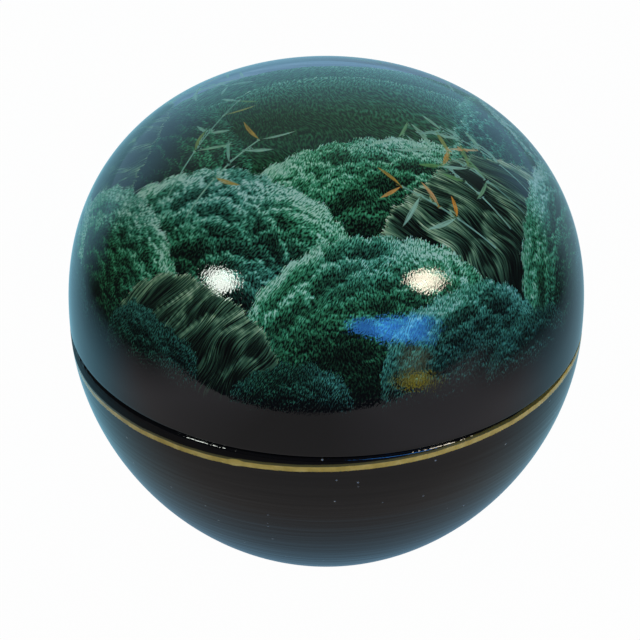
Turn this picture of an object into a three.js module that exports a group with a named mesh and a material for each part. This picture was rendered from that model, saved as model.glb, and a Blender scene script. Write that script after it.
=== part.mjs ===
// Round lacquer trinket box: a turned bowl, a domed lid that lifts off, a rounded
// rim ring glued on the bowl's edge and an upright collar that keeps the lid in place.
// Millimetres, +Z up along the box's axis, origin at the centre of the flat underside.

import * as THREE from 'three';

// Outside of the box
const diameter = 102;
const bowlDepth = 48.2; // underside to the bowl's widest line
const underside = 41; // diameter of the flat that the box stands on
const bowlRoundness = 1.87; // exponent of the bowl's outline, 2 is an ellipse
const lidHeight = 46.9; // lid's flat edge to its crown
const lidRoundness = 2.31; // exponent of the lid's outline
const lidEdgeRadius = 0.5;

// Rounded ring on the bowl's edge
const rimRise = 0.95; // above the widest line
const rimRounding = 1.6; // how far the rounding reaches in from the widest line
const rimSkirt = 0.6; // below the widest line

// Walls
const bowlFloor = 5;
const bowlHollowRoundness = 2.15; // exponent of the hollow's outline
const lidWall = 4;
const lidCrown = 4;

// Collar, its seat in the bowl and its room in the lid
const collarThickness = 1.4;
const collarSeatDepth = 6; // below the rim ring's top
const collarStand = 5; // above the rim ring's top
const collarEdgeBevel = 0.4;
const collarHeadroom = 1; // between the collar's top and the lid's step
const lidRecess = 1.2; // depth of the recess turned in the lid's wall for the collar
const fitClearance = 0.3; // round the collar, in the bowl and in the lid

// Fineness of the turned shapes
const stepsRound = 72;
const outlineSteps = 15;
const hollowSteps = 11;
const rimSteps = 5;
const edgeSteps = 3;

// Sizes that follow
const radius = diameter / 2;
const widestZ = bowlDepth;
const shellTopZ = widestZ - rimSkirt;
const rimTopZ = widestZ + rimRise;
const lidHollowRadius = radius - lidWall;
const seatRadius = lidHollowRadius + lidRecess;
const collarOuterRadius = seatRadius - fitClearance;
const collarInnerRadius = collarOuterRadius - collarThickness;
const collarSeatZ = rimTopZ - collarSeatDepth;
const collarTopZ = rimTopZ + collarStand;
const lidStepZ = collarTopZ + collarHeadroom;

// A rounded outline has (r / halfWidth)^n + (z / height)^n = 1.
// heightFor gives the height of the one that is halfWidth wide and passes through (r, z).
function heightFor(halfWidth, roundness, r, z) {
  return z / (1 - (r / halfWidth) ** roundness) ** (1 / roundness);
}

// Points (r, z) of that outline from z = from up to z = to, evenly spread by its own angle.
function roundedOutline({ halfWidth, height, roundness, from, to, steps }) {
  const angleAt = (z) => Math.asin((z / height) ** (roundness / 2));
  const points = [];
  for (let i = 0; i <= steps; i += 1) {
    const angle = angleAt(from) + ((angleAt(to) - angleAt(from)) * i) / steps;
    const r = halfWidth * Math.cos(angle) ** (2 / roundness);
    const z = height * Math.sin(angle) ** (2 / roundness);
    points.push([r, z]);
  }
  return points;
}

// Quarter of an ellipse round the centre (r, z), from one angle to another in degrees.
function roundedCorner({ r, z, across, up, from, to, steps }) {
  const points = [];
  for (let i = 0; i <= steps; i += 1) {
    const angle = THREE.MathUtils.degToRad(from + ((to - from) * i) / steps);
    points.push([r + across * Math.cos(angle), z + up * Math.sin(angle)]);
  }
  return points;
}

const mirroredDown = (points, z) => points.map(([r, height]) => [r, z - height]);
const raised = (points, z) => points.map(([r, height]) => [r, z + height]);

// A solid turned about the Z axis. Its section runs up the outside and down the inside.
function turned(name, section, look) {
  const points = section.map(([r, z]) => new THREE.Vector2(r, z));
  const geometry = new THREE.LatheGeometry(points, stepsRound);
  geometry.rotateX(Math.PI / 2);
  const mesh = new THREE.Mesh(geometry, new THREE.MeshStandardMaterial(look));
  mesh.name = name;
  return mesh;
}

// Lower half of the box: round outside with a flat to stand on, a round hollow,
// and a step inside the mouth that the collar is glued into.
function bowlShell() {
  const standing = underside / 2;
  const outlineHeight = heightFor(radius, bowlRoundness, standing, bowlDepth);
  const outside = mirroredDown(
    roundedOutline({
      halfWidth: radius,
      height: outlineHeight,
      roundness: bowlRoundness,
      from: rimSkirt,
      to: bowlDepth,
      steps: outlineSteps,
    }).reverse(),
    widestZ,
  );
  const hollowDepth = collarSeatZ - bowlFloor;
  const hollow = mirroredDown(
    roundedOutline({
      halfWidth: collarInnerRadius,
      height: hollowDepth,
      roundness: bowlHollowRoundness,
      from: 0,
      to: hollowDepth,
      steps: hollowSteps,
    }),
    collarSeatZ,
  ).slice(0, -1);
  const section = [
    [0, 0],
    ...outside,
    [seatRadius, shellTopZ],
    [seatRadius, collarSeatZ],
    ...hollow,
    [0, bowlFloor],
  ];
  const look = { color: 0x222226, roughness: 0.22, metalness: 0 };
  return turned('bowl_shell', section, look);
}

// Rounded ring that makes the bowl's glossy edge, on which the lid rests.
function bowlRimRing() {
  const rounding = roundedCorner({
    r: radius - rimRounding,
    z: widestZ,
    across: rimRounding,
    up: rimRise,
    from: 0,
    to: 90,
    steps: rimSteps,
  });
  const outlineHeight = heightFor(radius, bowlRoundness, underside / 2, bowlDepth);
  const [[skirtRadius]] = roundedOutline({
    halfWidth: radius,
    height: outlineHeight,
    roundness: bowlRoundness,
    from: rimSkirt,
    to: bowlDepth,
    steps: outlineSteps,
  });
  const section = [
    [skirtRadius, shellTopZ],
    ...rounding,
    [seatRadius, rimTopZ],
    [seatRadius, shellTopZ],
    [skirtRadius, shellTopZ],
  ];
  const look = { color: 0x0c0c0e, roughness: 0.12, metalness: 0 };
  return turned('bowl_rim_ring', section, look);
}

// Upright collar that stands in the bowl's mouth and keeps the lid from sliding off.
function locatingCollar() {
  const section = [
    [collarInnerRadius, collarSeatZ],
    [collarOuterRadius, collarSeatZ],
    [collarOuterRadius, collarTopZ - collarEdgeBevel],
    [collarOuterRadius - collarEdgeBevel, collarTopZ],
    [collarInnerRadius + collarEdgeBevel, collarTopZ],
    [collarInnerRadius, collarTopZ - collarEdgeBevel],
    [collarInnerRadius, collarSeatZ],
  ];
  const look = { color: 0x111113, roughness: 0.3, metalness: 0 };
  return turned('locating_collar', section, look);
}

// Domed lid with a rounded lower edge and a recess inside it that slips over the collar.
function lidShell() {
  const edge = roundedCorner({
    r: radius - lidEdgeRadius,
    z: rimTopZ + lidEdgeRadius,
    across: lidEdgeRadius,
    up: lidEdgeRadius,
    from: -90,
    to: 0,
    steps: edgeSteps,
  }).slice(0, -1);
  const dome = raised(
    roundedOutline({
      halfWidth: radius,
      height: lidHeight,
      roundness: lidRoundness,
      from: lidEdgeRadius,
      to: lidHeight,
      steps: outlineSteps,
    }),
    rimTopZ,
  ).slice(0, -1);
  const hollowHeight = lidHeight - lidCrown;
  const hollow = raised(
    roundedOutline({
      halfWidth: lidHollowRadius,
      height: hollowHeight,
      roundness: lidRoundness,
      from: lidStepZ - rimTopZ,
      to: hollowHeight,
      steps: hollowSteps,
    }).reverse(),
    rimTopZ,
  ).slice(1);
  const section = [
    [seatRadius, rimTopZ],
    ...edge,
    ...dome,
    [0, rimTopZ + lidHeight],
    [0, rimTopZ + hollowHeight],
    ...hollow,
    [seatRadius, lidStepZ],
    [seatRadius, rimTopZ],
  ];
  const look = { color: 0x1d4a3b, roughness: 0.2, metalness: 0 };
  return turned('lid_shell', section, look);
}

const box = new THREE.Group();
box.add(bowlShell(), bowlRimRing(), locatingCollar(), lidShell());

export default box;
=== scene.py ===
# %% [markdown]
# # Lacquer trinket box
# A ball-shaped box in two turned halves: a black bowl and a domed lid with a painting in greens
# under clear lacquer. The solids from the frame give every size. Here each half becomes a finely
# turned mesh with its lacquer, paint and gold line.

# %% Load the frame
import math

import bpy
import numpy as np
from mathutils import Matrix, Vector
from mathutils.kdtree import KDTree


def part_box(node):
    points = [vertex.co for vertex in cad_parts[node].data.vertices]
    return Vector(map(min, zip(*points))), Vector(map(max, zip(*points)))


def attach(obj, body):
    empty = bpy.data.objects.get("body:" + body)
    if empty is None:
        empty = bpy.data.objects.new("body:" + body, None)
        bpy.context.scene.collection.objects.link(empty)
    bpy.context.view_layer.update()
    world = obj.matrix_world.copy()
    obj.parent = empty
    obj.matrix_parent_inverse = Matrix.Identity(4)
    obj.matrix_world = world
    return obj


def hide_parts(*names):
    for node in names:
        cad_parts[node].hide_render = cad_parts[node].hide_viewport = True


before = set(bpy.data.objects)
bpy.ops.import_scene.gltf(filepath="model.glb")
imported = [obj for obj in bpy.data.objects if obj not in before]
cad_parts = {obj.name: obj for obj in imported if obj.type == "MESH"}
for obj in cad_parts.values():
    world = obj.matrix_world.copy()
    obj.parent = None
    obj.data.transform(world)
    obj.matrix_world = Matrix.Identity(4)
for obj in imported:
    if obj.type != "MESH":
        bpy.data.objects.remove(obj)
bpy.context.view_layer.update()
MM = 0.001

# %% Sizes that the frame gives
lid_low, lid_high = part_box("lid_shell")
rim_low, rim_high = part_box("bowl_rim_ring")
collar_low, collar_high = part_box("locating_collar")
RADIUS = lid_high.x
RIM_TOP = rim_high.z
LID_HEIGHT = lid_high.z - lid_low.z
RIM_SKIRT = 0.6 * MM  # how far the rim reaches below the bowl's widest line
WIDEST = rim_low.z + RIM_SKIRT
print(f"box: radius {RADIUS / MM:.1f} mm, rim at {RIM_TOP / MM:.2f} mm, lid {LID_HEIGHT / MM:.1f} mm high")

# %% [markdown]
# ## Camera
# The photograph looks down on the box from about 32 degrees. The lens and the shift were worked out
# from the outline of the box in it, in a frame of 640 by 640 pixels.

# %% Camera
FRAME_PIXELS = 640
SENSOR = 36.0
VIEW_ELEVATION = 32.3
VIEW_ROLL = 0.32
VIEW_DISTANCE = 7 * RADIUS
PIXELS_PER_RADIUS = 254.2  # at the middle of the bowl's mouth
MIDDLE_AT = (326.2, 308.2)  # where that middle lies in the photograph

elevation = math.radians(VIEW_ELEVATION)
camera_data = bpy.data.cameras.new("camera")
camera = bpy.data.objects.new("camera", camera_data)
bpy.context.scene.collection.objects.link(camera)
camera.location = (
    0,
    -VIEW_DISTANCE * math.cos(elevation),
    WIDEST + VIEW_DISTANCE * math.sin(elevation),
)
look_down = Matrix.Rotation(math.pi / 2 - elevation, 3, "X")
roll = Matrix.Rotation(math.radians(VIEW_ROLL), 3, "Z")
camera.rotation_euler = (look_down @ roll).to_euler()
camera_data.sensor_width = SENSOR
camera_data.lens = PIXELS_PER_RADIUS * VIEW_DISTANCE / RADIUS / FRAME_PIXELS * SENSOR
camera_data.shift_x = (FRAME_PIXELS / 2 - MIDDLE_AT[0]) / FRAME_PIXELS
camera_data.shift_y = (MIDDLE_AT[1] - FRAME_PIXELS / 2) / FRAME_PIXELS
camera_data.clip_start = 0.01
bpy.context.scene.camera = camera
print(f"camera: {camera_data.lens:.1f} mm lens, {VIEW_DISTANCE:.3f} m away")

# %% [markdown]
# ## Helpers for materials
# Colours are written as sRGB hex values, as a paint chart gives them. One function adds a node, sets
# it up and links it.

# %% Colour and node helpers


def colour(code):
    """An sRGB hex value as linear red, green, blue and alpha."""
    channels = [int(code[i : i + 2], 16) / 255 for i in (0, 2, 4)]
    linear = [c / 12.92 if c <= 0.04045 else ((c + 0.055) / 1.055) ** 2.4 for c in channels]
    return (*linear, 1.0)


def node(tree, kind, inputs=None, stops=(), **settings):
    """Adds a node. settings are its properties, stops the colours of a ramp as sRGB hex values.

    An input is a plain value, another node's output, or a node, which stands for its first output.
    """
    made = tree.nodes.new(kind)
    for name, value in settings.items():
        setattr(made, name, value)
    for socket, value in (inputs or {}).items():
        if isinstance(value, bpy.types.Node):
            value = value.outputs[0]
        if isinstance(value, bpy.types.NodeSocket):
            tree.links.new(value, made.inputs[socket])
        else:
            made.inputs[socket].default_value = value
    for place, _ in stops[1:-1]:
        made.color_ramp.elements.new(place)
    for number, (place, code) in enumerate(stops):
        made.color_ramp.elements[number].position = place
        made.color_ramp.elements[number].color = colour(code)
    return made


# %% [markdown]
# ## Studio
# The box stands on a pale table that ends a hand's breadth in front of it. Polished black shows
# little else than what it mirrors, so the room is laid out as its reflections in the photograph
# tell: pale blue behind the box, dark at the sides and in front beyond the table's edges, a grey
# green ceiling over the back of the room, two round softboxes whose bright spots lie on the lid,
# and a blue window on the right with something warm below it.

# %% World
ROOM_BLUE = "a4dfff"
DARK_ROOM = "2c2e33"
CEILING = "88aaa6"
WHITE = "ffffff"
ROOM_PARTS = {
    # name: axis along which it begins, where it begins and where it is full
    "behind": ("Y", 0.45, 0.65),
    "high_up": ("Z", 0.25, 0.65),
    "over_back": ("Y", 0.2, 0.7),
}
world = bpy.data.worlds.new("studio")
bpy.context.scene.world = world
world.use_nodes = True
tree = world.node_tree
tree.nodes.clear()
direction = node(tree, "ShaderNodeTexCoord").outputs["Generated"]
way = node(tree, "ShaderNodeSeparateXYZ", {0: direction}).outputs
shares = {
    part: node(
        tree,
        "ShaderNodeMapRange",
        {"Value": way[axis], "From Min": start, "From Max": full},
        interpolation_type="SMOOTHSTEP",
    )
    for part, (axis, start, full) in ROOM_PARTS.items()
}
overhead = node(
    tree, "ShaderNodeMath", {0: shares["high_up"], 1: shares["over_back"]}, operation="MULTIPLY"
)
to_camera = node(tree, "ShaderNodeLightPath").outputs["Is Camera Ray"]
room = colour(DARK_ROOM)
for share, paint in ((shares["behind"], ROOM_BLUE), (overhead, CEILING), (to_camera, WHITE)):
    room = node(
        tree, "ShaderNodeMix", {"Factor": share, "A": room, "B": colour(paint)}, data_type="RGBA"
    ).outputs["Result"]
background = node(tree, "ShaderNodeBackground", {"Color": room})
node(tree, "ShaderNodeOutputWorld", {"Surface": background})
print(f"room: {len(tree.nodes)} nodes")

# %% Softboxes
SOFTBOX_DISTANCE = 0.8
SOFTBOXES = {
    # name: shape, azimuth from the front, elevation, roll, width and height in degrees, colour, radiance
    "softbox_left": ("ELLIPSE", -53.3, 33.9, 32, 13.0, 11.5, "f7fff5", 22),
    "softbox_right": ("ELLIPSE", 50.8, 35.8, -31, 14.0, 11.0, "fff4dc", 24),
    "window": ("RECTANGLE", 33.5, 17.0, -16, 21, 12.0, "3a8cec", 11),
    "window_end": ("ELLIPSE", 18.5, 21.5, -16, 17, 8.5, "3a8cec", 9),
    "warm_lamp": ("ELLIPSE", 35.5, -8.3, 0, 12, 7, "dcd044", 3.4),
    "pale_lamp": ("ELLIPSE", 35.5, 1.0, 0, 11, 13, "b4c8a4", 1.7),
}


def softbox(name, shape, azimuth, rise, roll, wide, high, tint, radiance):
    """An area lamp that faces the lid, at a direction seen from the middle of the box."""
    turn, up = math.radians(azimuth), math.radians(rise)
    way = (math.sin(turn) * math.cos(up), -math.cos(turn) * math.cos(up), math.sin(up))
    data = bpy.data.lights.new(name, "AREA")
    data.shape = shape
    data.size, data.size_y = [
        2 * SOFTBOX_DISTANCE * math.tan(math.radians(angle / 2)) for angle in (wide, high)
    ]
    face = math.pi / 4 if shape == "ELLIPSE" else 1.0
    data.energy = radiance * math.pi * face * data.size * data.size_y
    data.color = colour(tint)[:3]
    lamp = bpy.data.objects.new(name, data)
    bpy.context.scene.collection.objects.link(lamp)
    lamp.location = [SOFTBOX_DISTANCE * w for w in way]
    lamp.location.z += WIDEST
    aim = Matrix.Rotation(turn, 3, "Z") @ Matrix.Rotation(math.pi / 2 - up, 3, "X")
    lamp.rotation_euler = (aim @ Matrix.Rotation(math.radians(roll), 3, "Z")).to_euler()


for name, facts in SOFTBOXES.items():
    softbox(name, *facts)
print(f"{len(SOFTBOXES)} lamps")

# %% [markdown]
# The table is cut off in front where the dark part of the lid's reflections begins. Its paper is
# grey in front and lighter towards the front corners, blue behind and brighter there on the left.
# Round the foot of the box it is darkest, with shade painted into it, and at both sides it fades
# into painted shade of the dark room's colour. The camera sees it nearly white, with a trace of the
# box's shadow.

# %% Table
TABLE_SIZE = 8.0
TABLE_EDGE = -0.208  # where it ends in front of the box
TABLE_SLANT = -0.2
bpy.ops.object.select_all(action="DESELECT")
bpy.ops.mesh.primitive_plane_add(size=TABLE_SIZE, location=(0, 0, 0))
table = bpy.context.object
table.name = "table"
bpy.ops.object.mode_set(mode="EDIT")
bpy.ops.mesh.select_all(action="SELECT")
bpy.ops.mesh.bisect(plane_co=(0, TABLE_EDGE, 0), plane_no=(TABLE_SLANT, -1, 0), clear_outer=True)
bpy.ops.object.mode_set(mode="OBJECT")
print(f"table: ends {-TABLE_EDGE:.3f} m in front of the box")

# %% Paper on the table
FRONT_GREY = "9c9896"
FRONT_CORNER_GREY = "bab6ba"
REAR_LEFT_BLUE = "90cee6"
REAR_RIGHT_BLUE = "8cb8ca"
# painted shade: the paper round the foot of the box, darkened where the box shades the table
FOOT_SHADE_BLUE = "7498b0"
DARKEST_AT = -0.03  # where across the front the paper is darkest
CAMERA_GLOW = 0.985  # share of plain white that the camera sees over the lit table
# The paper's colour, which the lacquer's reflections see, holds painted shade round the foot and at the sides
MIRROR_GLOW = 0.9  # share of the paper's own colour in the lacquer's reflections
table_paint = bpy.data.materials.new("matt_white_paper")
table_paint.use_nodes = True
tree = table_paint.node_tree
table_shader = tree.nodes["Principled BSDF"]
table_shader.inputs["Roughness"].default_value = 0.9
table_shader.inputs["Specular IOR Level"].default_value = 0.0
place = node(tree, "ShaderNodeTexCoord").outputs["Object"]
way = node(tree, "ShaderNodeSeparateXYZ", {0: place}).outputs
reach = node(tree, "ShaderNodeVectorMath", {0: place}, operation="LENGTH").outputs["Value"]
aside = node(tree, "ShaderNodeMath", {0: way["X"]}, operation="ABSOLUTE")
sideways = node(tree, "ShaderNodeMath", {0: aside, 1: reach}, operation="DIVIDE")
off_middle = node(tree, "ShaderNodeMath", {0: way["X"], 1: DARKEST_AT}, operation="SUBTRACT")
off_middle = node(tree, "ShaderNodeMath", {0: off_middle}, operation="ABSOLUTE")
to_right, in_foot_shade, to_corner, beyond, lateral, far_aside = [
    node(tree, "ShaderNodeMapRange", {"Value": measure, "From Min": start, "From Max": full})
    for measure, start, full in (
        (way["X"], -0.08, 0.08),
        # painted shade round the box's foot: full within 3 cm, gone from 6 cm
        (reach, 0.06, 0.03),
        (off_middle, 0.03, 0.1),
        (reach, 0.09, 0.12),
        # these two set where the paper turns to painted shade at both sides
        (sideways, 0.8, 0.94),
        (aside, 0.12, 0.25),
    )
]
to_back = node(
    tree,
    "ShaderNodeMapRange",
    {"Value": way["Y"], "From Min": -0.06, "From Max": 0.02},
    interpolation_type="SMOOTHSTEP",
)
at_corner, in_side_shade = [
    node(tree, "ShaderNodeMath", {0: share, 1: limit}, operation="MULTIPLY")
    for share, limit in ((to_corner, beyond), (lateral, far_aside))
]
rear, front = [
    node(
        tree, "ShaderNodeMix", {"Factor": share, "A": colour(here), "B": colour(there)}, data_type="RGBA"
    ).outputs["Result"]
    for share, here, there in (
        (to_right, REAR_LEFT_BLUE, REAR_RIGHT_BLUE),
        (at_corner, FRONT_GREY, FRONT_CORNER_GREY),
    )
]
paper = front
# then the painted shades: round the box's foot, and at both sides the dark room's colour where no light
# reaches the table
for share, paint in ((to_back, rear), (in_foot_shade, colour(FOOT_SHADE_BLUE)), (in_side_shade, colour(DARK_ROOM))):
    paper = node(
        tree, "ShaderNodeMix", {"Factor": share, "A": paper, "B": paint}, data_type="RGBA"
    ).outputs["Result"]
tree.links.new(paper, table_shader.inputs["Base Color"])
rays = node(tree, "ShaderNodeLightPath").outputs
mirrored = node(
    tree, "ShaderNodeMath", {0: rays["Is Glossy Ray"], 1: rays["Is Transmission Ray"]}, operation="MAXIMUM"
)
surface = table_shader
for ray, glow, paint in (
    (mirrored, MIRROR_GLOW, paper),
    (rays["Is Camera Ray"], CAMERA_GLOW, colour(WHITE)),
):
    share = node(tree, "ShaderNodeMath", {0: ray, 1: glow}, operation="MULTIPLY")
    shine = node(tree, "ShaderNodeEmission", {"Color": paint})
    surface = node(tree, "ShaderNodeMixShader", {0: share, 1: surface, 2: shine})
tree.links.new(surface.outputs[0], tree.nodes["Material Output"].inputs["Surface"])
table.data.materials.append(table_paint)

# %% [markdown]
# ## Turned shapes
# On the real box both halves come off a lathe. In Blender the same shape comes from a section that
# is spun round the axis: one point is extruded along the section, and Spin turns it round. A cone or
# sphere primitive would give the wrong curve, because the outline is fuller than an ellipse.

# %% Sections
LID_ROUNDNESS = 2.31
BOWL_ROUNDNESS = 1.87
BOWL_HOLLOW_ROUNDNESS = 2.15


def rounded(half_width, height, roundness, low, high, steps):
    """Points (r, z) of (r / half_width)^n + (z / height)^n = 1 from z = low to z = high."""
    start, end = [math.asin(min(1.0, z / height) ** (roundness / 2)) for z in (low, high)]
    angles = np.linspace(start, end, steps + 1)
    r = half_width * np.maximum(0, np.cos(angles)) ** (2 / roundness)
    z = height * np.sin(angles) ** (2 / roundness)
    r[np.abs(r) < 1e-9] = 0
    return list(zip(r, z))


def corner(r, z, across, up, start, end, steps):
    """Points on part of an ellipse round (r, z), between two angles in degrees."""
    angles = np.radians(np.linspace(start, end, steps + 1))
    return [(r + across * math.cos(a), z + up * math.sin(a)) for a in angles]


def turned(name, section, steps):
    """Extrudes a point along the section, spins it round the Z axis and closes the seam."""
    bpy.ops.object.select_all(action="DESELECT")
    bpy.ops.mesh.primitive_plane_add(size=MM, location=(0, 0, 0))
    piece = bpy.context.object
    piece.name = piece.data.name = name
    bpy.ops.object.mode_set(mode="EDIT")
    bpy.ops.mesh.select_all(action="SELECT")
    bpy.ops.mesh.merge(type="CENTER")
    r, z = section[0]
    bpy.ops.transform.translate(value=(r, 0, z))
    for (r0, z0), (r1, z1) in zip(section, section[1:]):
        bpy.ops.mesh.extrude_region_move(TRANSFORM_OT_translate={"value": (r1 - r0, 0, z1 - z0)})
    bpy.ops.mesh.select_all(action="SELECT")
    bpy.ops.mesh.spin(steps=steps, angle=2 * math.pi, center=(0, 0, 0), axis=(0, 0, 1))
    bpy.ops.mesh.select_all(action="SELECT")
    bpy.ops.mesh.remove_doubles(threshold=0.002 * MM)
    bpy.ops.mesh.delete_loose(use_verts=True, use_edges=True, use_faces=False)
    bpy.ops.mesh.select_all(action="SELECT")
    bpy.ops.mesh.normals_make_consistent(inside=False)
    bpy.ops.object.mode_set(mode="OBJECT")
    bpy.ops.object.shade_smooth_by_angle(angle=math.radians(35))
    print(f"{name}: {len(piece.data.polygons)} faces")
    return piece


def points_of(piece):
    """The mesh's vertices in millimetres, as rows of x, y and z."""
    flat = np.empty(len(piece.data.vertices) * 3)
    piece.data.vertices.foreach_get("co", flat)
    return flat.reshape(-1, 3) / MM


# %% Lid
LID_STEPS = 352
DOME_ROWS = 236  # a third of a millimetre apart, fine enough to hold the painting's layout
RIM_STEPS = 320
EDGE_RADIUS = 0.5 * MM
LID_WALL = 4 * MM
LID_CROWN = 4 * MM
LID_RECESS = 1.2 * MM
HEADROOM = 1 * MM
lid_hollow_radius = RADIUS - LID_WALL
seat_radius = lid_hollow_radius + LID_RECESS
step_height = collar_high.z + HEADROOM - RIM_TOP

lid_outside = corner(RADIUS - EDGE_RADIUS, EDGE_RADIUS, EDGE_RADIUS, EDGE_RADIUS, -90, 0, 6)[:-1]
lid_outside += rounded(RADIUS, LID_HEIGHT, LID_ROUNDNESS, EDGE_RADIUS, LID_HEIGHT, DOME_ROWS)
lid_inside = rounded(
    lid_hollow_radius, LID_HEIGHT - LID_CROWN, LID_ROUNDNESS, step_height, LID_HEIGHT - LID_CROWN, 24
)
mouth = (seat_radius, 0)
lid_section = [mouth, *lid_outside, *reversed(lid_inside), (seat_radius, step_height), mouth]
lid_section = [(r, z + RIM_TOP) for r, z in lid_section]
lid = turned("lacquered_lid", lid_section, LID_STEPS)

# %% Bowl
BOWL_STEPS = 256
BOWL_FLOOR = 5 * MM
UNDERSIDE_RADIUS = 20.5 * MM
COLLAR_THICKNESS = 1.4 * MM
collar_inner = collar_high.x - COLLAR_THICKNESS
bowl_height = WIDEST / (1 - (UNDERSIDE_RADIUS / RADIUS) ** BOWL_ROUNDNESS) ** (1 / BOWL_ROUNDNESS)
outline = rounded(RADIUS, bowl_height, BOWL_ROUNDNESS, RIM_SKIRT, WIDEST, 60)
bowl_outside = [(r, WIDEST - z) for r, z in reversed(outline)]
collar_seat = collar_low.z
hollow_depth = collar_seat - BOWL_FLOOR
hollow = rounded(collar_inner, hollow_depth, BOWL_HOLLOW_ROUNDNESS, 0, hollow_depth, 30)
bowl_inside = [(r, collar_seat - z) for r, z in hollow]
bowl_section = [(0, 0), *bowl_outside, (seat_radius, rim_low.z), (seat_radius, collar_seat), *bowl_inside]
bowl = turned("lacquered_bowl", bowl_section, BOWL_STEPS)

# %% Rim ring and collar
RIM_ROUNDING = 1.6 * MM
rim_rise = RIM_TOP - WIDEST
skirt_radius = outline[0][0]
bead = corner(RADIUS - RIM_ROUNDING, WIDEST, RIM_ROUNDING, rim_rise, 0, 90, 10)
rim_bottom = (skirt_radius, rim_low.z)
rim_section = [rim_bottom, *bead, (seat_radius, RIM_TOP), (seat_radius, rim_low.z), rim_bottom]
rim = turned("lacquered_rim", rim_section, RIM_STEPS)

COLLAR_BEVEL = 0.4 * MM
c_in, c_out, c_low, c_top = collar_inner, collar_high.x, collar_low.z, collar_high.z
collar_section = [
    (c_in, c_low),
    (c_out, c_low),
    *corner(c_out - COLLAR_BEVEL, c_top - COLLAR_BEVEL, COLLAR_BEVEL, COLLAR_BEVEL, 0, 90, 4),
    *corner(c_in + COLLAR_BEVEL, c_top - COLLAR_BEVEL, COLLAR_BEVEL, COLLAR_BEVEL, 90, 180, 4),
    (c_in, c_low),
]
collar = turned("lacquered_collar", collar_section, BOWL_STEPS)

# %% [markdown]
# ## Maps for baked textures
# The materials need no map, but a baked copy of the box does. Every turned piece spreads flat as
# rings round a middle, with no seam: the outside as one ring and the inside as another.

# %% Spread the pieces flat
OUTSIDE = (0.37, 0.37)
INSIDE = (0.87, 0.87)
MIDDLE = (0.5, 0.5)


def unroll(piece, section, rings):
    """Makes the map. A ring has its first and last point of the section, its middle and two radii."""
    section = np.array(section) / MM
    run = np.concatenate([[0], np.cumsum(np.hypot(*np.diff(section, axis=0).T))])
    mesh = piece.data
    tree = KDTree(len(section) - 1)
    for number, (r, z) in enumerate((section[:-1] + section[1:]) / 2):
        tree.insert((r, z, 0), number)
    tree.balance()
    segments = []
    for face in mesh.polygons:
        x, y, z = face.center / MM
        segments.append(tree.find((math.hypot(x, y), z, 0))[1])
    corners = np.empty(len(mesh.loops), dtype=np.int32)
    mesh.loops.foreach_get("vertex_index", corners)
    sides = np.empty(len(mesh.polygons), dtype=np.int32)
    mesh.polygons.foreach_get("loop_total", sides)
    segment = np.repeat(segments, sides)
    x, y, z = points_of(piece)[corners].T
    start, end = section[segment], section[segment + 1]
    r = np.hypot(x, y)
    from_start = np.hypot(r - start[:, 0], z - start[:, 1])
    from_end = np.hypot(r - end[:, 0], z - end[:, 1])
    along = np.where(from_start < from_end, run[segment], run[segment + 1])
    turn = np.arctan2(x, -y)
    spread = np.zeros((len(corners), 2))
    for first, last, middle, near, far in rings:
        radius = np.interp(along, (run[first], run[last]), (near, far))
        ring = np.column_stack([middle[0] + radius * np.sin(turn), middle[1] + radius * np.cos(turn)])
        chosen = (segment >= first) & (segment < last)
        spread[chosen] = ring[chosen]
    while mesh.uv_layers:
        mesh.uv_layers.remove(mesh.uv_layers[0])
    mesh.uv_layers.new(name="OFBake").data.foreach_set("uv", spread.astype(np.float32).ravel())


crown = len(lid_outside)
ledge = 1 + len(bowl_outside) + 1
unroll(lid, lid_section, ((0, crown, OUTSIDE, 0.36, 0), (crown + 1, len(lid_section) - 1, INSIDE, 0, 0.12)))
unroll(bowl, bowl_section, ((0, ledge, OUTSIDE, 0, 0.36), (ledge, len(bowl_section) - 1, INSIDE, 0.12, 0)))
unroll(rim, rim_section, ((0, len(rim_section) - 1, MIDDLE, 0.49, 0.42),))
unroll(collar, collar_section, ((0, len(collar_section) - 1, MIDDLE, 0.27, 0.49),))
print("maps made for 4 pieces")

# %% [markdown]
# ## Layout of the painting
# The lid is painted by hand in small dabs: mounds of foliage and combed grass, one in front of the
# other, bright along their upper edges and black at their feet, with smooth hills over the crown
# and a few stems of bamboo between. A pattern laid evenly over the dome can't do that, so the
# mounds are laid out here on the dome spread flat. Every vertex stores, for each tier of mounds,
# where it lies on its mound and how much light falls there, and the material draws the dabs in
# those coordinates.

# %% The dome spread flat
dome = points_of(lid)
azimuth = np.arctan2(dome[:, 0], -dome[:, 1])  # from the front, to the viewer's right
profile = np.array(lid_outside) / MM
steps_along = np.hypot(*np.diff(profile, axis=0).T)
arc_down = np.concatenate([np.cumsum(steps_along[::-1])[::-1], [0]])  # from the crown
slope_angle = np.arctan2(profile[:, 1], profile[:, 0])
vertex_angle = np.arctan2(dome[:, 2] - RIM_TOP / MM, np.hypot(dome[:, 0], dome[:, 1]))
arc = np.interp(vertex_angle, slope_angle, arc_down)
flat = np.column_stack([arc * np.sin(azimuth), arc * np.cos(azimuth)])
print(f"dome: {arc_down[0]:.1f} mm from the crown to the edge")

# %% Light on foliage, grass and far hills
chance = np.random.default_rng(7)
FEET = 26.0  # millimetres from a mound's top to where it ends in black
CLUMP_ROWS = 3.2  # millimetres from one row of leafy clumps to the next
CLUMP_GAP = 5.4
LEAF_BUMPS = (2.1, 0.75)  # wavelength and height along a clump's edge
LOCK_ROWS = 7  # the same for locks of grass
LOCK_GAP = 5.0
FOLDS = (4.5, 10.0, 17.0)  # how far down a far hill's folds lie


def bumps(along, wavelength, height):
    """An edge of round bumps side by side: zero at their tops, height in the notches."""
    return height * (1 - np.abs(np.sin(math.pi * along / wavelength + chance.uniform(0, 3))))


def ripple(across, depth, wide, tall):
    """Soft patches between -1 and 1."""
    return np.sin(across / wide + chance.uniform(0, 6)) * np.sin(depth / tall + chance.uniform(0, 6))


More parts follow.
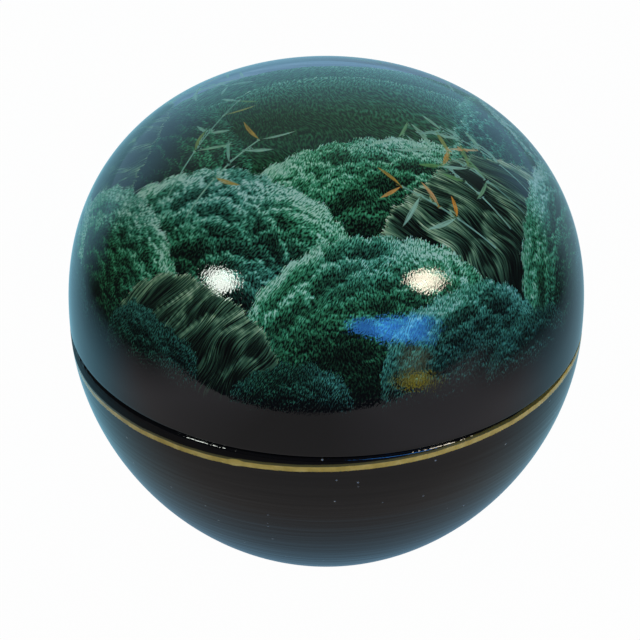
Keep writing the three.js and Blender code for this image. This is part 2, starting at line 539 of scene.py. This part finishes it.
def foliage(across, depth, half):
    """Leafy growth in rounded clumps, each bright along its upper edge, some much more than others."""
    body = (0.44 * np.exp(-np.maximum(depth, 0) / 17) + 0.13) * (1 + 0.4 * ripple(across, depth, 3.9, 2.7))
    light = body.copy()
    clumps = [
        (row + chance.uniform(-1.5, 1.5), place + chance.uniform(-3, 3))
        for row in np.arange(1.0, FEET, CLUMP_ROWS)
        for place in np.arange(-half - row / 3, half + row / 3, CLUMP_GAP)
    ]
    for top, middle in sorted(clumps):
        wide, fall = chance.uniform(2.6, 7.0), chance.uniform(1.2, 3.6)
        edge = 0.26 + 0.9 * chance.random() ** 1.3
        turn = (across - middle) / wide
        below = depth - top - fall * turn**2 - bumps(across, *LEAF_BUMPS)
        inside = (below > 0) & (np.abs(turn) < 1.4)
        below = below[inside]
        lit = body[inside] * (0.32 + 0.6 * np.exp(-below / 1.9)) + edge * np.exp(-below / 0.6)
        light[inside] += (lit - light[inside]) * np.minimum(1, below / 0.3)
    return light


def grass(across, depth, half):
    """Long grass combed into locks, each bright along its upper left edge."""
    light = 0.25 * np.exp(-np.maximum(depth, 0) / 12)
    starts = [
        (top + chance.uniform(-3, 3), place + chance.uniform(-1.5, 1.5))
        for top in np.arange(-4, FEET, LOCK_ROWS)
        for place in np.arange(-half - top, half + top, LOCK_GAP)
    ]
    for top, middle in sorted(starts):
        wide, fall = chance.uniform(3.4, 7.0), chance.uniform(9, 20)
        glow = chance.uniform(0.25, 0.7)
        turn = (across - middle) / wide
        below = (depth - top - fall * turn**2) / np.sqrt(1 + (2 * fall * turn / wide) ** 2)
        inside = (below > 0) & (np.abs(turn) < 1.5)
        side = np.clip(0.68 - 0.45 * turn[inside], 0.2, 1) * np.exp(-(depth[inside] - top) / 20)
        below = below[inside]
        lit = side * (glow * np.exp(-below / 1.4) + 0.68 * np.exp(-below / 6.0))
        light[inside] += (lit - light[inside]) * np.minimum(1, below / 0.7)
    return light


def far_hill(across, depth, half):
    """A smooth hillside with folds, bright along its crest."""
    light = 0.3 * np.exp(-np.maximum(depth, 0) / 2.6) + 0.31 + 0.07 * ripple(across, depth, 5.3, 4.1)
    for top in FOLDS:
        below = depth - top - 2.2 * np.sin(across / chance.uniform(6, 11) + chance.uniform(0, 6))
        light += 0.14 * np.exp(-np.maximum(below, 0) / 1.8) * (below > 0) - 0.05 * (below > 0)
    return light


FILLS = {"foliage": (foliage, 0.0), "far_hill": (far_hill, 0.5), "grass": (grass, 1.0)}

# %% Mounds
OVERHANG = 2.5  # how far above a mound's edge its coordinates go on, for the ragged dabs there
SHOULDER = 0.97  # share of the half width at which a mound's side drops off
DROP_OFF = 60  # how steeply it does
FAN = 34.0  # millimetres above a mound's top, from where its strokes spread
PAINT_FADES = (46, 66)  # millimetres from the crown, between which the paint gets darker
EDGE_BUMPS = ((6.1, 0.8), (3.3, 0.45))  # wavelengths and heights along a mound's edge
EDGE_WAVES = (3.7, 7.9)


def mound(tier, azimuth_at, reach, half, rise, fill, lean=0.0, glow=1.0, tint=0.5, facing=None):
    """Lays one mound over what the tier holds.

    Its top lies at an azimuth and a reach from the crown, its foot the way that it faces.
    """
    brush, tone = tier
    draw, kind = FILLS[fill]
    turn = math.radians(azimuth_at)
    spot = reach * np.array([math.sin(turn), math.cos(turn)])
    turn = math.radians(azimuth_at if facing is None else facing)
    down = np.array([math.sin(turn), math.cos(turn)])
    away = flat - spot
    across, drop = away @ np.array([down[1], -down[0]]), away @ down
    half = half * np.where(across > 0, *chance.uniform(0.85, 1.2, 2))
    turn = np.abs(across / half)
    arch = np.sqrt(np.maximum(0.05, 1 - np.minimum(turn, SHOULDER) ** 2))
    edge = rise * (1 - arch) + np.maximum(0, turn - SHOULDER) * DROP_OFF
    wobble = sum(bumps(across, *bump) for bump in EDGE_BUMPS)
    for wavelength in EDGE_WAVES:
        wobble = wobble + chance.uniform(-0.8, 0.8) * np.sin(across / wavelength)
    share = 0.3 if fill == "far_hill" else 1.0
    steep = rise * turn / half / np.maximum(arch, 0.35)
    depth = (drop - edge - share * wobble) / np.sqrt(1 + steep**2)
    along = FAN * np.arctan2(across, np.maximum(drop, -8) + FAN) + lean * drop * (1 - drop / 45)
    front = (depth > -OVERHANG) & (drop < FEET + rise) & ((depth > 0) | (depth > brush[:, 2]))
    along, drop, depth = along[front], drop[front], depth[front]
    deep = np.maximum(depth, 0)
    along = along + 0.6 * ripple(along, drop, 2.3, 1.9)
    tint = tint + 0.25 * ripple(along, drop, 6.3, 5.1)
    light = draw(along, depth, float(np.max(half)))
    if fill != "far_hill":
        light = np.maximum(light, 0.6 * np.exp(-deep / 0.6)) * np.exp(-deep / 26.0)
    light *= glow * np.interp(arc[front], PAINT_FADES, (1, 0.4))
    brush[front] = np.column_stack([along, drop + 100 * chance.random(), depth])
    tone[front] = np.column_stack([light, tint, np.full(len(deep), kind)])


def empty_tier():
    return np.full((len(flat), 3), -1e3), np.zeros((len(flat), 3))


# %% Tiers of mounds, from the back to the front
MOUNDS = (
    # tier, azimuth, reach, half width, rise, fill, lean, glow and, for foliage, tint
    (2, -62, 20, 22, 9, "foliage", 0.5, 0.5, 0.5),
    (2, 18, 17, 24, 8, "foliage", 0.5, 1.3, 0.35),
    (2, 84, 24, 24, 10, "foliage", 0.3, 0.8, 0.5),
    (2, 162, 30, 26, 10, "foliage", 0.0, 0.8, 0.5),
    (2, -138, 30, 26, 10, "foliage", 0.0, 0.8, 0.5),
    (3, -28, 27, 24, 12, "foliage", 0.6, 1.3, 0.6),
    (3, 46, 29, 26, 14, "grass", -0.8, 1.25),
    (3, -98, 31, 22, 12, "grass", 0.7, 0.8),
    (3, 112, 33, 24, 12, "foliage", 0.4, 1.1, 0.7),
    (3, 178, 36, 26, 12, "grass", 0.6, 0.9),
    (4, 10, 38, 25, 14, "foliage", 0.5, 1.2, 0.4),
    (4, -62, 41, 24, 13, "foliage", 0.6, 1.25, 0.45),
    (4, 76, 42, 24, 13, "foliage", 0.4, 1.35, 0.45),
    (4, 140, 44, 26, 13, "foliage", 0.0, 1.0, 0.5),
    (4, -150, 43, 26, 13, "foliage", 0.0, 1.0, 0.7),
    (4, -110, 46, 22, 12, "foliage", 0.0, 1.2, 0.3),
    (5, -30, 49, 22, 12, "grass", 0.9, 1.4),
    (5, 34, 50, 22, 11, "foliage", 0.5, 1.1, 0.8),
    (5, -88, 52, 22, 10, "foliage", 0.4, 1.6, 0.6),
    (5, 98, 53, 24, 11, "grass", -0.6, 1.2),
    (5, 165, 54, 26, 11, "foliage", 0.0, 0.9, 0.4),
    (5, -138, 54, 24, 11, "grass", 0.7, 0.9),
)
FRINGE = 9  # low mounds along the painting's lower edge
FRINGE_REACH = 58
tiers = [empty_tier() for _ in range(7)]
mound(tiers[0], 145, 17, 66, 26, "far_hill", 0.4, facing=4)
mound(tiers[1], 105, 22, 40, 15, "far_hill", -0.4, facing=-10)
mound(tiers[1], -88, 24, 38, 14, "far_hill", 0.5, 0.75, facing=14)
for tier, *facts in MOUNDS:
    mound(tiers[tier], *facts)
for number in range(FRINGE):
    azimuth_at = number * 360 / FRINGE + chance.uniform(-8, 8)
    reach = FRINGE_REACH + chance.uniform(-1.5, 2.5)
    mound(tiers[6], azimuth_at, reach, 15, 7, "foliage", 0.4, chance.uniform(0.45, 0.85), 0.85)
print(f"{len(tiers)} tiers of mounds")

# %% Bamboo
BAMBOO_BEHIND = 4  # the stems stand behind this tier
STEM_HALF_WIDTH = 0.22  # millimetres
LEAF_HALF_WIDTH = 0.45
STEM_BLUNTNESS = 25.0  # a leaf has 1 and tapers to both ends
STEM_GAP = 6.5


def bamboo(azimuth_at, reach, stems, warmth):
    """Stems and leaves of one group, as blades.

    A blade is its start, direction, length, half width, bend, tint and bluntness.
    """
    turn = math.radians(azimuth_at)
    up = -np.array([math.sin(turn), math.cos(turn)])
    right = np.array([-up[1], up[0]])
    blades = []
    for number in range(stems):
        lean = chance.uniform(-0.3, 0.3)
        way = up * math.cos(lean) + right * math.sin(lean)
        start = -reach * up + right * (number - stems / 2) * STEM_GAP
        length, bend = chance.uniform(20, 29), chance.uniform(-4, 4)
        side = np.array([-way[1], way[0]])
        blades.append((start, way, length, STEM_HALF_WIDTH, bend, 0.2 * chance.random(), STEM_BLUNTNESS))
        for share in np.arange(0.45, 1.02, 0.18):
            joint = start + way * length * share + side * bend * share**2
            for hand in (-1, 1):
                if chance.random() < 0.3:
                    continue
                droop = hand * chance.uniform(0.5, 1.7)
                leaf_way = way * math.cos(droop) + side * math.sin(droop)
                leaf = (joint, leaf_way, chance.uniform(4.0, 8.0), LEAF_HALF_WIDTH * chance.uniform(0.7, 1.2))
                blades.append((*leaf, -hand * chance.uniform(0.3, 1.6), warmth * chance.random(), 1.0))
    return blades


# azimuth, reach of the foot, stems, warmth of the leaves
GROVES = ((-42, 40, 2, 0.7), (62, 45, 4, 1.0), (150, 46, 3, 1.0), (-120, 45, 3, 0.8))
blades = [blade for grove in GROVES for blade in bamboo(*grove)]
nearest = np.full(len(flat), 1e3)
blade_place = np.zeros((len(flat), 3))
blade_look = np.zeros((len(flat), 3))
for start, way, length, half, bend, tint, blunt in blades:
    away = flat - start
    share = away @ way / length
    across = away @ np.array([-way[1], way[0]]) - bend * share**2
    distance = np.abs(across) - half + length * (np.maximum(0, -share) + np.maximum(0, share - 1))
    closer = distance < nearest
    nearest = np.where(closer, distance, nearest)
    blade_place[closer] = np.column_stack([across, share, distance])[closer]
    blade_look[closer] = (half, tint, blunt)
print(f"{len(blades)} stems and leaves")

# %% Keep the layout on the lid


def store(piece, name, values):
    """Keeps one vector per vertex on the mesh, for the material to read."""
    kept = piece.data.attributes.new(name, "FLOAT_VECTOR", "POINT")
    kept.data.foreach_set("vector", values.astype(np.float32).ravel())


for number, (brush, tone) in enumerate(tiers):
    store(lid, f"brush_{number}", brush)
    store(lid, f"tone_{number}", tone)
blade_place[:, 2] = nearest
store(lid, "blade", blade_place)
store(lid, "blade_look", blade_look)
PAINTED_TO = 68  # millimetres from the crown
SKY_FRONT = (0, 8)  # millimetres in front of the crown, over which the hazy sky fades out
SKY_FOOT = (46, 54)  # millimetres down from the crown, over which it fades out too
waves = sum(chance.uniform(0.4, 1.2) * np.sin(k * azimuth + chance.uniform(0, 6)) for k in range(1, 7))
sky = np.interp(flat[:, 1], SKY_FRONT, (1, 0)) * np.interp(arc, SKY_FOOT, (1, 0))
store(lid, "margin", np.column_stack([PAINTED_TO + waves - arc, sky, np.zeros(len(arc))]))

# %% [markdown]
# ## Lacquer and paint
# All of the box is wood under many coats of lacquer, rubbed down and polished. The eye gets a deep
# black with a clear mirror on top. The shader has the pigment as its matt base and the polished
# lacquer as its coat, with an IOR of 1.5, as lacquer has.

# %% Lacquer coat
COAT_IOR = 1.5
BLACK = "0b0b0d"


def lacquer(name, code, coat_roughness=0.03):
    """A material with matt pigment under a clear polished coat."""
    made = bpy.data.materials.new(name)
    made.use_nodes = True
    shader = made.node_tree.nodes["Principled BSDF"]
    inputs = {
        "Base Color": colour(code),
        "Roughness": 0.5,
        "Specular IOR Level": 0.0,
        "Coat Weight": 1.0,
        "Coat Roughness": coat_roughness,
        "Coat IOR": COAT_IOR,
    }
    for socket, value in inputs.items():
        shader.inputs[socket].default_value = value
    return made, made.node_tree, shader


# %% Painted lacquer: which mound shows where
STROKE_WIDTH = 0.24  # millimetres, a brush of a few hairs
DAB_LENGTH = 0.62
HAIR_LENGTH = 5.0
RAGGED = 2.2  # how far dabs reach over a mound's edge
FAR_RAGGED = 0.9
FAR_TIERS = 2
TIP_SCALE = (1 / STROKE_WIDTH, 0.6 / DAB_LENGTH, 0)

painted, tree, paint_shader = lacquer("painted_and_polished_lacquer", BLACK)
place = tone = None
painted_at = cover = 0.0
for number in range(len(tiers)):
    ragged = FAR_RAGGED if number < FAR_TIERS else RAGGED
    brush = node(tree, "ShaderNodeAttribute", attribute_name=f"brush_{number}").outputs["Vector"]
    look = node(tree, "ShaderNodeAttribute", attribute_name=f"tone_{number}").outputs["Vector"]
    tip = node(tree, "ShaderNodeVectorMath", {0: brush, 1: TIP_SCALE}, operation="MULTIPLY")
    tips = node(
        tree, "ShaderNodeTexNoise", {"Vector": tip, "Scale": 1.0, "Detail": 1.0}, noise_dimensions="2D"
    )
    depth = node(tree, "ShaderNodeSeparateXYZ", {0: brush}).outputs[2]
    edge = node(tree, "ShaderNodeMath", {0: tips, 1: ragged, 2: depth}, operation="MULTIPLY_ADD")
    inside = node(tree, "ShaderNodeMath", {0: edge, 1: ragged / 2}, operation="GREATER_THAN")
    painted_at = node(tree, "ShaderNodeMath", {0: painted_at, 1: inside}, operation="MAXIMUM")
    if number >= BAMBOO_BEHIND:
        cover = node(tree, "ShaderNodeMath", {0: cover, 1: inside}, operation="MAXIMUM")
    if place is None:
        place, tone = brush, look
        continue
    place, tone = [
        node(
            tree, "ShaderNodeMix", {"Factor": inside, "A": below, "B": above}, data_type="VECTOR"
        ).outputs["Result"]
        for below, above in ((place, brush), (tone, look))
    ]
print(f"painted lacquer: {len(tree.nodes)} nodes for the tiers")

# %% Painted lacquer: dabs
NEAR_CONTRAST = 0.85
FAR_CONTRAST = 0.8
BASE_LIGHT = 0.16  # light that counts for the dabs' contrast even where the paint is black
DAB_SWING = 0.62
MARGIN_RAGGED = 8.0  # millimetres by which dabs reach over the painting's lower edge
tones = node(tree, "ShaderNodeSeparateXYZ", {0: tone}).outputs
is_grass = node(tree, "ShaderNodeMath", {0: tones[2], 1: 0.75}, operation="GREATER_THAN")
is_far = node(tree, "ShaderNodeMath", {0: tones[2], 1: 0.5, 2: 0.2}, operation="COMPARE")
length_scale = node(
    tree, "ShaderNodeMapRange", {"Value": tones[2], "To Min": 1 / DAB_LENGTH, "To Max": 1 / HAIR_LENGTH}
)
stroke_scale = node(tree, "ShaderNodeCombineXYZ", {0: 1 / STROKE_WIDTH, 1: length_scale})
stroke = node(tree, "ShaderNodeVectorMath", {0: place, 1: stroke_scale}, operation="MULTIPLY")
strokes = node(
    tree, "ShaderNodeTexNoise", {"Vector": stroke, "Scale": 1.0, "Detail": 1.0}, noise_dimensions="2D"
)
contrast = node(
    tree, "ShaderNodeMapRange", {"Value": is_far, "To Min": NEAR_CONTRAST, "To Max": FAR_CONTRAST}
)
lit = node(tree, "ShaderNodeMath", {0: tones[0], 1: BASE_LIGHT}, operation="ADD")
dab = node(
    tree,
    "ShaderNodeMapRange",
    {"Value": strokes, "From Min": 0.3, "From Max": 0.7, "To Min": -DAB_SWING, "To Max": DAB_SWING},
)
for factor in (contrast, lit):
    dab = node(tree, "ShaderNodeMath", {0: dab, 1: factor}, operation="MULTIPLY")
value = node(tree, "ShaderNodeMath", {0: tones[0], 1: dab}, operation="ADD")

margin = node(tree, "ShaderNodeAttribute", attribute_name="margin").outputs["Vector"]
margin = node(tree, "ShaderNodeSeparateXYZ", {0: margin}).outputs
to_edge = node(
    tree, "ShaderNodeMath", {0: strokes, 1: MARGIN_RAGGED, 2: margin[0]}, operation="MULTIPLY_ADD"
)
within = node(
    tree,
    "ShaderNodeMapRange",
    {"Value": to_edge, "From Min": 4.0, "From Max": 9.0},
    interpolation_type="SMOOTHSTEP",
)
fade = node(tree, "ShaderNodeMath", {0: within, 1: painted_at}, operation="MULTIPLY")

# %% Painted lacquer: colours
SHADES_AT = (0.0, 0.16, 0.36, 0.58, 0.8, 1.0)
LEAF_GREEN = ("0a0c0b", "183523", "34764e", "4aa877", "80c69e", "bce2c8")
LEAF_TEAL = ("0a0c0d", "19332b", "387162", "52a58e", "84c6b4", "c0e2d8")
SAGE = ("0b0c0b", "1e3024", "44694e", "7b9f78", "adc49a", "d6e2c4")
OLIVE = ("0b1b10", "183a21", "2b623e", "408a69", "70b898", "acd8c4")
leaf_green, leaf_teal, sage, olive = [
    node(tree, "ShaderNodeValToRGB", {0: value}, tuple(zip(SHADES_AT, shades))).outputs["Color"]
    for shades in (LEAF_GREEN, LEAF_TEAL, SAGE, OLIVE)
]
tealness = node(
    tree,
    "ShaderNodeMapRange",
    {"Value": tones[1], "From Min": 0.3, "From Max": 0.95},
    interpolation_type="SMOOTHSTEP",
)
leaves = leaf_green
for share, paint in ((tealness, leaf_teal), (is_far, olive), (is_grass, sage)):
    leaves = node(
        tree, "ShaderNodeMix", {"Factor": share, "A": leaves, "B": paint}, data_type="RGBA"
    ).outputs["Result"]

# %% [markdown]
# Behind the hills lies a haze, laid on with a wide flat brush, so it has long level streaks.

# %% Painted lacquer: haze and ground
position = node(tree, "ShaderNodeTexCoord").outputs["Object"]
wide_brush = node(
    tree, "ShaderNodeVectorMath", {0: position, 1: (0.06 / MM, 0.7 / MM, 0.7 / MM)}, operation="MULTIPLY"
)
streak = node(tree, "ShaderNodeTexNoise", {"Vector": wide_brush, "Scale": 1.0, "Detail": 3.0})
haze = node(
    tree, "ShaderNodeValToRGB", {0: streak}, ((0.3, "6f82a8"), (0.5, "8194ba"), (0.7, "97a9cc"))
).outputs["Color"]
hazy = node(tree, "ShaderNodeMath", {0: margin[1], 1: within}, operation="MULTIPLY")
picture = colour(BLACK)
for share, paint in ((hazy, haze), (fade, leaves)):
    picture = node(
        tree, "ShaderNodeMix", {"Factor": share, "A": picture, "B": paint}, data_type="RGBA"
    ).outputs["Result"]

# %% Painted lacquer: bamboo
BLADE_GRAIN = (5.0, 2.5, 60.0)  # how fine the paint varies across, along and from blade to blade
blade = node(tree, "ShaderNodeAttribute", attribute_name="blade").outputs["Vector"]
blade = node(tree, "ShaderNodeSeparateXYZ", {0: blade}).outputs
look = node(tree, "ShaderNodeAttribute", attribute_name="blade_look").outputs["Vector"]
look = node(tree, "ShaderNodeSeparateXYZ", {0: look}).outputs
rest = node(tree, "ShaderNodeMath", {0: 1.0, 1: blade[1]}, operation="SUBTRACT")
taper = blade[1]
for factor in (rest, 4.0, look[2]):
    taper = node(tree, "ShaderNodeMath", {0: taper, 1: factor}, operation="MULTIPLY", use_clamp=True)
half = node(tree, "ShaderNodeMath", {0: taper, 1: look[0]}, operation="MULTIPLY")
beside = node(tree, "ShaderNodeMath", {0: blade[0]}, operation="ABSOLUTE")
spare = node(tree, "ShaderNodeMath", {0: half, 1: beside}, operation="SUBTRACT")
on_blade = node(tree, "ShaderNodeMapRange", {"Value": spare, "From Min": 0.0, "From Max": 0.12})
close = node(tree, "ShaderNodeMath", {0: blade[2], 1: 0.2}, operation="LESS_THAN")
free = node(tree, "ShaderNodeMath", {0: 1.0, 1: cover}, operation="SUBTRACT")
along_blade = node(tree, "ShaderNodeCombineXYZ", {0: blade[0], 1: blade[1], 2: look[1]})
grain = node(tree, "ShaderNodeVectorMath", {0: along_blade, 1: BLADE_GRAIN}, operation="MULTIPLY")
thin = node(tree, "ShaderNodeTexNoise", {"Vector": grain, "Scale": 1.0, "Detail": 2.0})
thickness = node(
    tree,
    "ShaderNodeMapRange",
    {"Value": thin, "From Min": 0.35, "From Max": 0.6, "To Min": 0.45, "To Max": 1.0},
)
for share in (close, free, thickness):
    on_blade = node(tree, "ShaderNodeMath", {0: on_blade, 1: share}, operation="MULTIPLY")
BLADE_COLOURS = ((0.0, "84bba2"), (0.4, "a3d0b4"), (0.6, "6aa058"), (0.76, "f09d2e"), (1.0, "dcc697"))
blade_colour = node(tree, "ShaderNodeValToRGB", {0: look[1]}, BLADE_COLOURS).outputs["Color"]
picture = node(
    tree, "ShaderNodeMix", {"Factor": on_blade, "A": picture, "B": blade_colour}, data_type="RGBA"
).outputs["Result"]
tree.links.new(picture, paint_shader.inputs["Base Color"])

# %% Painted lacquer: paint stands proud under the coat
PAINT_RELIEF = 0.015 * MM
bare = node(tree, "ShaderNodeMapRange", {"Value": fade, "To Min": 0.35, "To Max": 1.0})
relief = node(tree, "ShaderNodeMath", {0: strokes, 1: bare}, operation="MULTIPLY")
relief = node(tree, "ShaderNodeMath", {0: on_blade, 1: 0.5, 2: relief}, operation="MULTIPLY_ADD")
bump = node(tree, "ShaderNodeBump", {"Height": relief, "Distance": PAINT_RELIEF})
tree.links.new(bump.outputs[0], paint_shader.inputs["Coat Normal"])
print(f"painted lacquer: {len(tree.nodes)} nodes in all")

# %% [markdown]
# ## Black lacquer and the gold line
# The bowl is plain black, brushed on round the turned wood, with a few nibs of dust left in the
# coat. A gold line runs round it, drawn freehand over a thin dark under-line, so that it slants
# against the edge, varies in width and has a small blob where the stroke starts and ends. It is
# paint of a few hundredths of a millimetre, so it is made in the material, on the bowl and on the
# rim alike, because on the right it climbs over the joint between them. Above it the black is
# thicker and mirrors less of the pale table, because its face bulges. Where the rim turns up to
# the lamps, its coat is at full strength again.

# %% Black lacquer
GOLD_DROP = 2.09 * MM  # below the widest line, in the middle
GOLD_SLANT = (1.81 * MM / RADIUS, -0.53 * MM / RADIUS)  # rise to the right and to the back
GOLD_HALF_WIDTH = 0.55  # millimetres
GOLD_WANDER = 0.6  # how much the line wanders by hand, in millimetres
GOLD_JOIN = (-16.1 * MM, -48.4 * MM, 46.5 * MM)
BLOB_HALF_WIDTH = 0.85
UNDER_LINE = 0.6  # how far the dark under-line shows above the gold, in millimetres
BULGE_COAT = 0.2
RIM_SHINE_FROM = 0.05  # millimetres above the widest line, where the rim turns up to the lamps
COAT_RELIEF = 0.02 * MM  # the height of a nib of dust, and the unit of the other heights
STREAK_HEIGHT = 4.0
GOLD_HEIGHT = 0.5


def black_lacquer(name, wave_size, wave_height, coat_roughness):
    """Black lacquer with the gold line. Its coat has waves of a size in millimetres and a height."""
    made, tree, shader = lacquer(name, BLACK, coat_roughness)
    place = node(tree, "ShaderNodeTexCoord").outputs["Object"]
    slant = (-GOLD_SLANT[0] / MM, -GOLD_SLANT[1] / MM, 1 / MM)
    over = node(tree, "ShaderNodeVectorMath", {0: place, 1: slant}, operation="DOT_PRODUCT").outputs["Value"]
    down = (GOLD_DROP - WIDEST) / MM - GOLD_WANDER / 2
    over = node(tree, "ShaderNodeMath", {0: over, 1: down}, operation="ADD")
    hand = node(tree, "ShaderNodeTexNoise", {"Vector": place, "Scale": 110.0, "Detail": 3.0})
    over = node(tree, "ShaderNodeMath", {0: hand, 1: GOLD_WANDER, 2: over}, operation="MULTIPLY_ADD")
    from_join = node(
        tree, "ShaderNodeVectorMath", {0: place, 1: GOLD_JOIN}, operation="DISTANCE"
    ).outputs["Value"]
    widths = {"To Min": GOLD_HALF_WIDTH, "To Max": BLOB_HALF_WIDTH}
    blob = node(
        tree,
        "ShaderNodeMapRange",
        {"Value": from_join, "From Min": 1.8 * MM, "From Max": 0.3 * MM, **widths},
        interpolation_type="SMOOTHSTEP",
    )
    beside = node(tree, "ShaderNodeMath", {0: over}, operation="ABSOLUTE")
    spare = node(tree, "ShaderNodeMath", {0: blob, 1: beside}, operation="SUBTRACT")
    gold = node(tree, "ShaderNodeMapRange", {"Value": spare, "From Min": -0.05, "From Max": 0.08})
    worn = node(tree, "ShaderNodeTexNoise", {"Vector": place, "Scale": 420.0, "Detail": 2.0})
    gold_paint = node(
        tree, "ShaderNodeValToRGB", {0: worn}, ((0.35, "d2ac4c"), (0.5, "e4bd5a"), (0.65, "f0ca6c"))
    ).outputs["Color"]
    line_end = GOLD_HALF_WIDTH + UNDER_LINE
    under = node(
        tree, "ShaderNodeMapRange", {"Value": over, "From Min": line_end, "From Max": line_end - 0.15}
    )
    above = node(tree, "ShaderNodeMath", {0: over, 1: 0.0}, operation="GREATER_THAN")
    under = node(tree, "ShaderNodeMath", {0: under, 1: above}, operation="MULTIPLY")

    band = (0.03 / MM, 0.03 / MM, 0.9 / MM)
    brushed = node(tree, "ShaderNodeVectorMath", {0: place, 1: band}, operation="MULTIPLY")
    streaks = node(tree, "ShaderNodeTexNoise", {"Vector": brushed, "Scale": 1.0, "Detail": 3.0})
    black = node(
        tree, "ShaderNodeValToRGB", {0: streaks}, ((0.35, "09090a"), (0.52, "0d0c0d"), (0.68, "131110"))
    ).outputs["Color"]
    nibs = node(tree, "ShaderNodeTexVoronoi", {"Vector": place, "Scale": 330.0})
    rare = node(tree, "ShaderNodeSeparateColor", {0: nibs.outputs["Color"]})
    rare = node(tree, "ShaderNodeMath", {0: rare, 1: 0.4}, operation="GREATER_THAN")
    nib = node(
        tree, "ShaderNodeMapRange", {"Value": nibs.outputs["Distance"], "From Min": 0.09, "From Max": 0.02}
    )
    nib = node(tree, "ShaderNodeMath", {0: nib, 1: rare}, operation="MULTIPLY")
    for factor, paint in ((nib, colour("a3a6a2")), (under, colour("5c5428")), (gold, gold_paint)):
        black = node(
            tree, "ShaderNodeMix", {"Factor": factor, "A": black, "B": paint}, data_type="RGBA"
        ).outputs["Result"]
    tree.links.new(black, shader.inputs["Base Color"])
    bulging = node(
        tree,
        "ShaderNodeMapRange",
        {"Value": over, "From Min": 0.7, "From Max": 1.2, "To Min": 1.0, "To Max": BULGE_COAT},
    )
    up = node(tree, "ShaderNodeSeparateXYZ", {0: place}).outputs["Z"]
    shine_from = WIDEST + RIM_SHINE_FROM * MM
    turned_up = node(
        tree, "ShaderNodeMapRange", {"Value": up, "From Min": shine_from, "From Max": shine_from + 0.2 * MM}
    )
    coat = node(tree, "ShaderNodeMath", {0: bulging, 1: turned_up}, operation="MAXIMUM")
    tree.links.new(coat.outputs[0], shader.inputs["Coat Weight"])

    waves = node(
        tree, "ShaderNodeTexNoise", {"Vector": place, "Scale": 1 / (wave_size * MM), "Detail": 2.0}
    )
    height = nib
    for part, rise in ((waves, wave_height), (streaks, STREAK_HEIGHT), (gold, GOLD_HEIGHT)):
        height = node(tree, "ShaderNodeMath", {0: part, 1: rise, 2: height}, operation="MULTIPLY_ADD")
    bump = node(tree, "ShaderNodeBump", {"Height": height, "Distance": COAT_RELIEF})
    tree.links.new(bump.outputs[0], shader.inputs["Coat Normal"])
    return made


brushed_black = black_lacquer("brushed_black_lacquer", 6.0, 1.0, 0.08)
thick_black = black_lacquer("thick_glossy_black_lacquer", 1.7, 6.0, 0.03)

# %% [markdown]
# ## Inside
# The photograph doesn't show the inside. Boxes of this kind are mostly red inside, under a thinner
# and less polished coat, so the hollows get a deep cinnabar red and the collar stays black.

# %% Red and satin lacquer
red, tree, shader = lacquer("satin_red_lacquer", "6e1410", 0.25)
place = node(tree, "ShaderNodeTexCoord").outputs["Object"]
cloud = node(tree, "ShaderNodeTexNoise", {"Vector": place, "Scale": 120.0, "Detail": 4.0})
red_paint = node(
    tree, "ShaderNodeValToRGB", {0: cloud}, ((0.3, "5c100d"), (0.5, "6e1511"), (0.7, "7c1c15"))
).outputs["Color"]
tree.links.new(red_paint, shader.inputs["Base Color"])
peel = node(tree, "ShaderNodeTexNoise", {"Vector": place, "Scale": 900.0, "Detail": 1.0})
bump = node(tree, "ShaderNodeBump", {"Height": peel, "Distance": 0.01 * MM})
tree.links.new(bump.outputs[0], shader.inputs["Coat Normal"])

satin, tree, shader = lacquer("satin_black_lacquer", BLACK, 0.2)
place = node(tree, "ShaderNodeTexCoord").outputs["Object"]
turned_marks = node(
    tree, "ShaderNodeVectorMath", {0: place, 1: (0.05 / MM, 0.05 / MM, 1.4 / MM)}, operation="MULTIPLY"
)
lines = node(tree, "ShaderNodeTexNoise", {"Vector": turned_marks, "Scale": 1.0, "Detail": 3.0})
collar_black = node(
    tree, "ShaderNodeValToRGB", {0: lines}, ((0.35, "0a0a0c"), (0.65, "16151a"))
).outputs["Color"]
tree.links.new(collar_black, shader.inputs["Base Color"])
bump = node(tree, "ShaderNodeBump", {"Height": lines, "Distance": 0.01 * MM})
tree.links.new(bump.outputs[0], shader.inputs["Coat Normal"])

# %% Materials on the pieces


def inner_faces(piece, is_inner):
    """Gives the second material to the faces whose middle passes the test (r, z in millimetres)."""
    for face in piece.data.polygons:
        x, y, z = face.center / MM
        if is_inner(math.hypot(x, y), z):
            face.material_index = 1


def in_lid_hollow(r, z):
    across = r / ((lid_hollow_radius + RADIUS) / 2 / MM)
    up = (z - RIM_TOP / MM) / ((LID_HEIGHT - LID_CROWN / 2) / MM)
    return z > RIM_TOP / MM + 0.01 and across**LID_ROUNDNESS + up**LID_ROUNDNESS < 1


def in_bowl_hollow(r, z):
    across = r / (collar_inner / MM + 2)
    down = (collar_seat / MM - z) / (hollow_depth / MM + 2)
    inside = r < collar_inner / MM + 0.01 and BOWL_FLOOR / MM - 0.5 < z < collar_seat / MM + 0.01
    return inside and across**2 + down**2 < 1


lid.data.materials.append(painted)
lid.data.materials.append(red)
inner_faces(lid, in_lid_hollow)
bowl.data.materials.append(brushed_black)
bowl.data.materials.append(red)
inner_faces(bowl, in_bowl_hollow)
rim.data.materials.append(thick_black)
collar.data.materials.append(satin)

# %% Pieces and the bodies they ride on
for piece, body, cad_node, slot_name in (
    (lid, "lid", "lid_shell", "painted_lacquer"),
    (bowl, "bowl", "bowl_shell", "black_lacquer"),
    (rim, "bowl", "bowl_rim_ring", "rim_lacquer"),
    (collar, "bowl", "locating_collar", "collar_lacquer"),
):
    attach(piece, body)
    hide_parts(cad_node)

# %% Finish
bpy.context.scene.view_settings.view_transform = "Standard"
